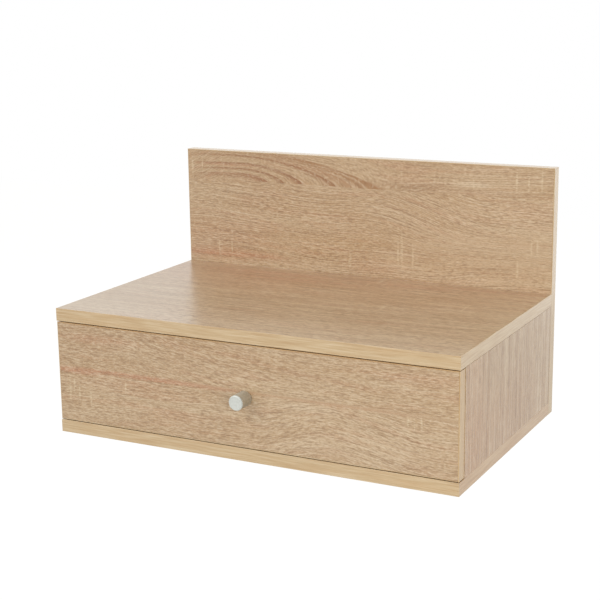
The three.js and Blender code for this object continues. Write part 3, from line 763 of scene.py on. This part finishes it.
# one noise gives these their tone, and the bumps in their skin or their dull and bright spots
speckledLooks = {
    # rolled steel with baked white epoxy powder: glossy, with a faint orange-peel skin
    "white_steel": {
        "name": "white epoxy coated steel",
        "tones": [(0.3, "#E0E0DC"), (0.7, "#E8E8E5")],
        "size": 1.6 * mm,
        "detail": 2.0,
        "skinDepth": 0.01 * mm,
        "uniform": {"Roughness": 0.32},
    },
    # cold-headed steel with bright zinc plating: blue-white metal with slight cloudiness
    "zinc_steel": {
        "name": "bright zinc plated steel",
        "tones": [(0.3, "#A9AEB4"), (0.55, "#B9BBBC"), (0.75, "#C3C0B6")],
        "size": 1.2 * mm,
        "detail": 3.0,
        "roughness": (0.2, 0.42),
        "uniform": {"Metallic": 1.0},
    },
    # die-cast zinc, tumbled: dull grey metal with a grainy skin
    "zinc_casting": {
        "name": "die-cast zinc",
        "tones": [(0.3, "#8E8F91"), (0.7, "#A5A6A7")],
        "size": 0.7 * mm,
        "detail": 4.0,
        "skinDepth": 0.03 * mm,
        "uniform": {"Roughness": 0.46, "Metallic": 1.0},
    },
    # injection-moulded natural nylon: milky white, a little light goes into it
    "roller_plastic": {
        "name": "moulded nylon",
        "tones": [(0.3, "#E6E3DA"), (0.7, "#EFEDE6")],
        "size": 4 * mm,
        "detail": 2.0,
        "uniform": {
            "Roughness": 0.4,
            "Subsurface Weight": 0.15,
            "Subsurface Radius": (1.0, 0.9, 0.8),
            "Subsurface Scale": 1.0 * mm,
        },
    },
}


def satinNickel(look, centre):
    # turned zinc alloy with satin nickel plating: pale and bright, with fine lathe rings in the plating
    material, tree, shader = startMaterial("satin nickel", {"Metallic": 1.0})
    place = addNode(tree, "TexCoord").outputs["Object"]
    local = addNode(tree, "VectorMath", {0: place, 1: centre}, operation="SUBTRACT").outputs[0]
    radial = addNode(tree, "VectorMath", {0: local, 1: (1, 0, 1)}, operation="MULTIPLY").outputs[0]
    radius = addNode(tree, "VectorMath", {0: radial}, operation="LENGTH").outputs["Value"]
    depth = addNode(tree, "SeparateXYZ", {0: local}).outputs["Y"]
    path = addNode(tree, "Math", {0: radius, 1: depth}, operation="ADD").outputs[0]
    turn = 2 * math.pi / look["ringSpacing"]
    phase = addNode(tree, "Math", {0: path, 1: turn}, operation="MULTIPLY").outputs[0]
    rings = addNode(tree, "Math", {0: phase}, operation="SINE").outputs[0]
    marks = addNode(tree, "Bump", {"Distance": look["ringDepth"], "Height": rings}).outputs[0]
    cloud = addNode(
        tree, "TexNoise", {"Vector": place, "Scale": 1 / look["cloudSize"], "Detail": 4.0},
    ).outputs["Fac"]
    tone = addNode(tree, "ValToRGB", {"Fac": cloud}, stops=look["tones"]).outputs["Color"]
    bright, dull = look["roughness"]
    spots = addNode(tree, "MapRange", {"Value": cloud, "To Min": bright, "To Max": dull}).outputs[0]
    tree.links.new(tone, shader.inputs["Base Color"])
    tree.links.new(spots, shader.inputs["Roughness"])
    tree.links.new(marks, shader.inputs["Normal"])
    return material


def lacqueredFibreboard(look):
    # thin hardboard with a rolled white lacquer: smooth, with fibre flecks just showing through
    material, tree, shader = startMaterial("white lacquered fibreboard", {"Roughness": look["roughness"]})
    place = addNode(tree, "TexCoord").outputs["Object"]
    fibres = addNode(
        tree, "TexVoronoi", {"Vector": place, "Scale": 1 / look["fibreSize"]},
    ).outputs["Distance"]
    clouds = addNode(
        tree, "TexNoise", {"Vector": place, "Scale": 1 / look["cloudSize"], "Detail": 3.0},
    ).outputs["Fac"]
    both = addNode(
        tree, "Math", {0: fibres, 1: look["fibreShare"], 2: clouds}, operation="MULTIPLY_ADD",
    ).outputs[0]
    tone = addNode(tree, "ValToRGB", {"Fac": both}, stops=look["tones"]).outputs["Color"]
    skin = addNode(tree, "Bump", {"Distance": look["skinDepth"], "Height": fibres}).outputs[0]
    tree.links.new(tone, shader.inputs["Base Color"])
    tree.links.new(skin, shader.inputs["Normal"])
    return material


def speckledFinish(look):
    material, tree, shader = startMaterial(look["name"], look["uniform"])
    place = addNode(tree, "TexCoord").outputs["Object"]
    speckle = addNode(
        tree, "TexNoise", {"Vector": place, "Scale": 1 / look["size"], "Detail": look["detail"]},
    )
    speckle = speckle.outputs["Fac"]
    tone = addNode(tree, "ValToRGB", {"Fac": speckle}, stops=look["tones"]).outputs["Color"]
    tree.links.new(tone, shader.inputs["Base Color"])
    if "skinDepth" in look:
        skin = addNode(tree, "Bump", {"Distance": look["skinDepth"], "Height": speckle}).outputs[0]
        tree.links.new(skin, shader.inputs["Normal"])
    if "roughness" in look:
        bright, dull = look["roughness"]
        spots = addNode(tree, "MapRange", {"Value": speckle, "To Min": bright, "To Max": dull}).outputs[0]
        tree.links.new(spots, shader.inputs["Roughness"])
    return material


knobLow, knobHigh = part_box("drawer_knob")
finishes = {slot: speckledFinish(look) for slot, look in speckledLooks.items()}
finishes["satin_nickel"] = satinNickel(satinNickelLook, (knobLow + knobHigh) / 2)
finishes["white_board"] = lacqueredFibreboard(lacqueredFibreboardLook)
for node in cadNodes:
    if slotOf[node] in finishes:
        paint(node, finishes[slotOf[node]])
print("metal, plastic and fibreboard finished")


# Turned and headed pieces, made finer than their plain solids
def standFor(node, mesh, name, sharpAngle=35):
    data = bpy.data.meshes.new(name)
    bmesh.ops.recalc_face_normals(mesh, faces=mesh.faces)
    mesh.to_mesh(data)
    mesh.free()
    data.polygons.foreach_set("use_smooth", [True] * len(data.polygons))
    data.set_sharp_from_angle(angle=math.radians(sharpAngle))
    data.materials.append(finishes[slotOf[node]])
    piece = bpy.data.objects.new(name, data)
    bpy.context.scene.collection.objects.link(piece)
    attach(piece, bodyOf[node])
    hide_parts(node)


def turnedRings(mesh, outline, facets, closed=False):
    # outline: (radius, height) pairs round the local Z axis
    rings = []
    for radius, height in outline:
        turns = [2 * math.pi * i / facets for i in range(facets if radius else 1)]
        rings.append([mesh.verts.new((radius * math.cos(t), radius * math.sin(t), height)) for t in turns])
    for near, far in zip(rings, rings[1:] + rings[:1] if closed else rings[1:]):
        for i in range(facets):
            j = i + 1
            corners = [near[i % len(near)], near[j % len(near)], far[j % len(far)], far[i % len(far)]]
            mesh.faces.new(list(dict.fromkeys(corners)))  # beside a single middle point it has three corners
    return rings


def roundedOutline(outline, radius, steps):
    # rounds each inner corner of an outline of (radius, height) pairs
    points = [Vector(p) for p in outline]
    eased = [points[0]]
    for before, corner, after in zip(points, points[1:], points[2:]):
        reach = min(radius, (before - corner).length / 2, (after - corner).length / 2)
        start = corner + (before - corner).normalized() * reach
        end = corner + (after - corner).normalized() * reach
        for i in range(steps + 1):
            t = i / steps
            eased.append(start * (1 - t) ** 2 + corner * 2 * t * (1 - t) + end * t ** 2)
    eased.append(points[-1])
    return [tuple(p) for p in eased]


def aimMesh(mesh, seat, outward):
    # local Z, which points out of a head or face, is turned to the outward direction
    turn = Vector(outward).to_track_quat("Z", "Y").to_matrix().to_4x4()
    mesh.transform(Matrix.Translation(seat) @ turn)


knob = {
    "facets": 96,
    "rimChamfer": 1.1 * mm,
    "rimWidth": 0.5 * mm,
    "faceDish": 0.12 * mm,
    "footGroove": 0.35 * mm,
    "footHeight": 0.8 * mm,
    "edgeRadius": 0.25 * mm,
    "edgeSteps": 4,
    "sharpAngle": 50,
}
knobRadius = (knobHigh.x - knobLow.x) / 2
knobReach = knobHigh.y - knobLow.y
knobMiddle = (knobLow + knobHigh) / 2
rimRadius = knobRadius - knob["rimChamfer"]
grooveRadius = knobRadius - knob["footGroove"]
knobOutline = [
    (0, -knob["faceDish"]),
    (rimRadius - knob["rimWidth"] * 2, -knob["faceDish"]),
    (rimRadius - knob["rimWidth"], 0),
    (rimRadius, 0),
    (knobRadius, -knob["rimChamfer"]),
    (knobRadius, -knobReach + knob["footHeight"] * 2),
    (grooveRadius, -knobReach + knob["footHeight"]),
    (grooveRadius, -knobReach),
    (0, -knobReach),
]
mesh = bmesh.new()
turnedRings(mesh, roundedOutline(knobOutline, knob["edgeRadius"], knob["edgeSteps"]), knob["facets"])
aimMesh(mesh, (knobMiddle.x, knobLow.y, knobMiddle.z), (0, -1, 0))
standFor("drawer_knob", mesh, "turned_knob", knob["sharpAngle"])
print("knob turned")

roller = {
    "facets": 64,
    "webInset": 0.7 * mm,
    "hubRadius": 3.9 * mm,
    "rimThickness": 1.6 * mm,
    "edgeRadius": 0.5 * mm,
    "edgeSteps": 3,
}
rollerNodes = [node for node in cadNodes if node.endswith("_roller")]
for node in rollerNodes:
    rollerLow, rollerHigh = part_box(node)
    outer = (rollerHigh.z - rollerLow.z) / 2
    width = rollerHigh.x - rollerLow.x
    middle = (rollerLow + rollerHigh) / 2
    bore = min(math.hypot(v.co.y - middle.y, v.co.z - middle.z) for v in cadNodes[node].data.vertices)
    rimInside = outer - roller["rimThickness"]
    face = [
        (bore, 0),
        (roller["hubRadius"], 0),
        (roller["hubRadius"], -roller["webInset"]),
        (rimInside, -roller["webInset"]),
        (rimInside, 0),
        (outer, 0),
    ]
    far = [(radius, -width - height) for radius, height in reversed(face)]
    mesh = bmesh.new()
    rollerOutline = roundedOutline(face + far, roller["edgeRadius"], roller["edgeSteps"])
    turnedRings(mesh, rollerOutline, roller["facets"], closed=True)
    aimMesh(mesh, (rollerHigh.x, middle.y, middle.z), (1, 0, 0))
    standFor(node, mesh, node + "_moulded")
print("rollers moulded:", len(rollerNodes))

# Screws with a cross recess. Each kind gives the way its head faces, where inward is toward the middle of
# the piece, and its outline: (radius, depth below the head) pairs in millimetres
screwKinds = {
    "cabinet_rail_screw": {"head": "inward", "outline": "runner"},
    "drawer_rail_screw": {"head": "outward", "outline": "runner"},
    "back_panel_screw": {"head": (0, 1, 0), "outline": "carcass"},
    "side_panel_screw": {"head": (0, 0, -1), "outline": "carcass"},
    "drawer_back_screw": {"head": "outward", "outline": "carcass"},
    "knob_screw": {"head": (0, 1, 0), "outline": "pan"},
}
screwOutlines = {
    "runner": [(1.75, 1.9), (1.75, 10.0), (0.61, 12.0)],
    "carcass": [(3.5, 3.2), (3.5, 13.0), (2.6, 13.0), (2.6, 47.0), (0.91, 50.0)],
    "pan": [(4.0, 2.4), (2.0, 2.4), (2.0, 26.0)],
}
# shares of the head's radius, and the width at the bottom as a share of the width at the mouth
crossRecess = {"armShare": 0.17, "reachShare": 0.56, "depthShare": 0.5, "taper": 0.62, "facets": 36}


def crossHeadScrew(headRadius, outline):
    mesh = bmesh.new()
    arm = headRadius * crossRecess["armShare"]
    reach = headRadius * crossRecess["reachShare"]
    depth = headRadius * crossRecess["depthShare"]
    shrink = crossRecess["taper"]
    cross = [
        (reach, -arm), (reach, arm), (arm, arm), (arm, reach), (-arm, reach), (-arm, arm),
        (-reach, arm), (-reach, -arm), (-arm, -arm), (-arm, -reach), (arm, -reach), (arm, -arm),
    ]
    shank = [(radius * mm, -below * mm) for radius, below in outline]
    rings = turnedRings(mesh, [(headRadius, 0)] + shank, crossRecess["facets"])
    mesh.faces.new(reversed(rings[-1]))
    mouth = [mesh.verts.new((x, y, 0)) for x, y in cross]
    rim = [mesh.edges.get((a, b)) for a, b in zip(rings[0], rings[0][1:] + rings[0][:1])]
    lip = [mesh.edges.new((a, b)) for a, b in zip(mouth, mouth[1:] + mouth[:1])]
    bmesh.ops.triangle_fill(mesh, use_beauty=True, edges=rim + lip)
    bottom = [mesh.verts.new((x * shrink, y * shrink, -depth)) for x, y in cross]
    for i in range(len(cross)):
        j = (i + 1) % len(cross)
        mesh.faces.new((mouth[i], mouth[j], bottom[j], bottom[i]))
    mesh.faces.new(bottom)
    return mesh


screwNodes = {node: kind for node in cadNodes for kind in screwKinds if kind in node}
for node, kind in screwNodes.items():
    screwLow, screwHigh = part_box(node)
    side = 1 if screwLow.x > 0 else -1
    aside = {"inward": (-side, 0, 0), "outward": (side, 0, 0)}
    head = screwKinds[kind]["head"]
    outward = Vector(aside.get(head, head))
    size = screwHigh - screwLow
    middle = (screwLow + screwHigh) / 2
    length = abs(size.dot(outward))
    headRadius = max(abs(size[i]) for i in range(3) if not outward[i]) / 2
    mesh = crossHeadScrew(headRadius, screwOutlines[screwKinds[kind]["outline"]])
    aimMesh(mesh, middle + outward * length / 2, outward)
    standFor(node, mesh, node + "_cross_head")
print("screws headed:", len(screwNodes))
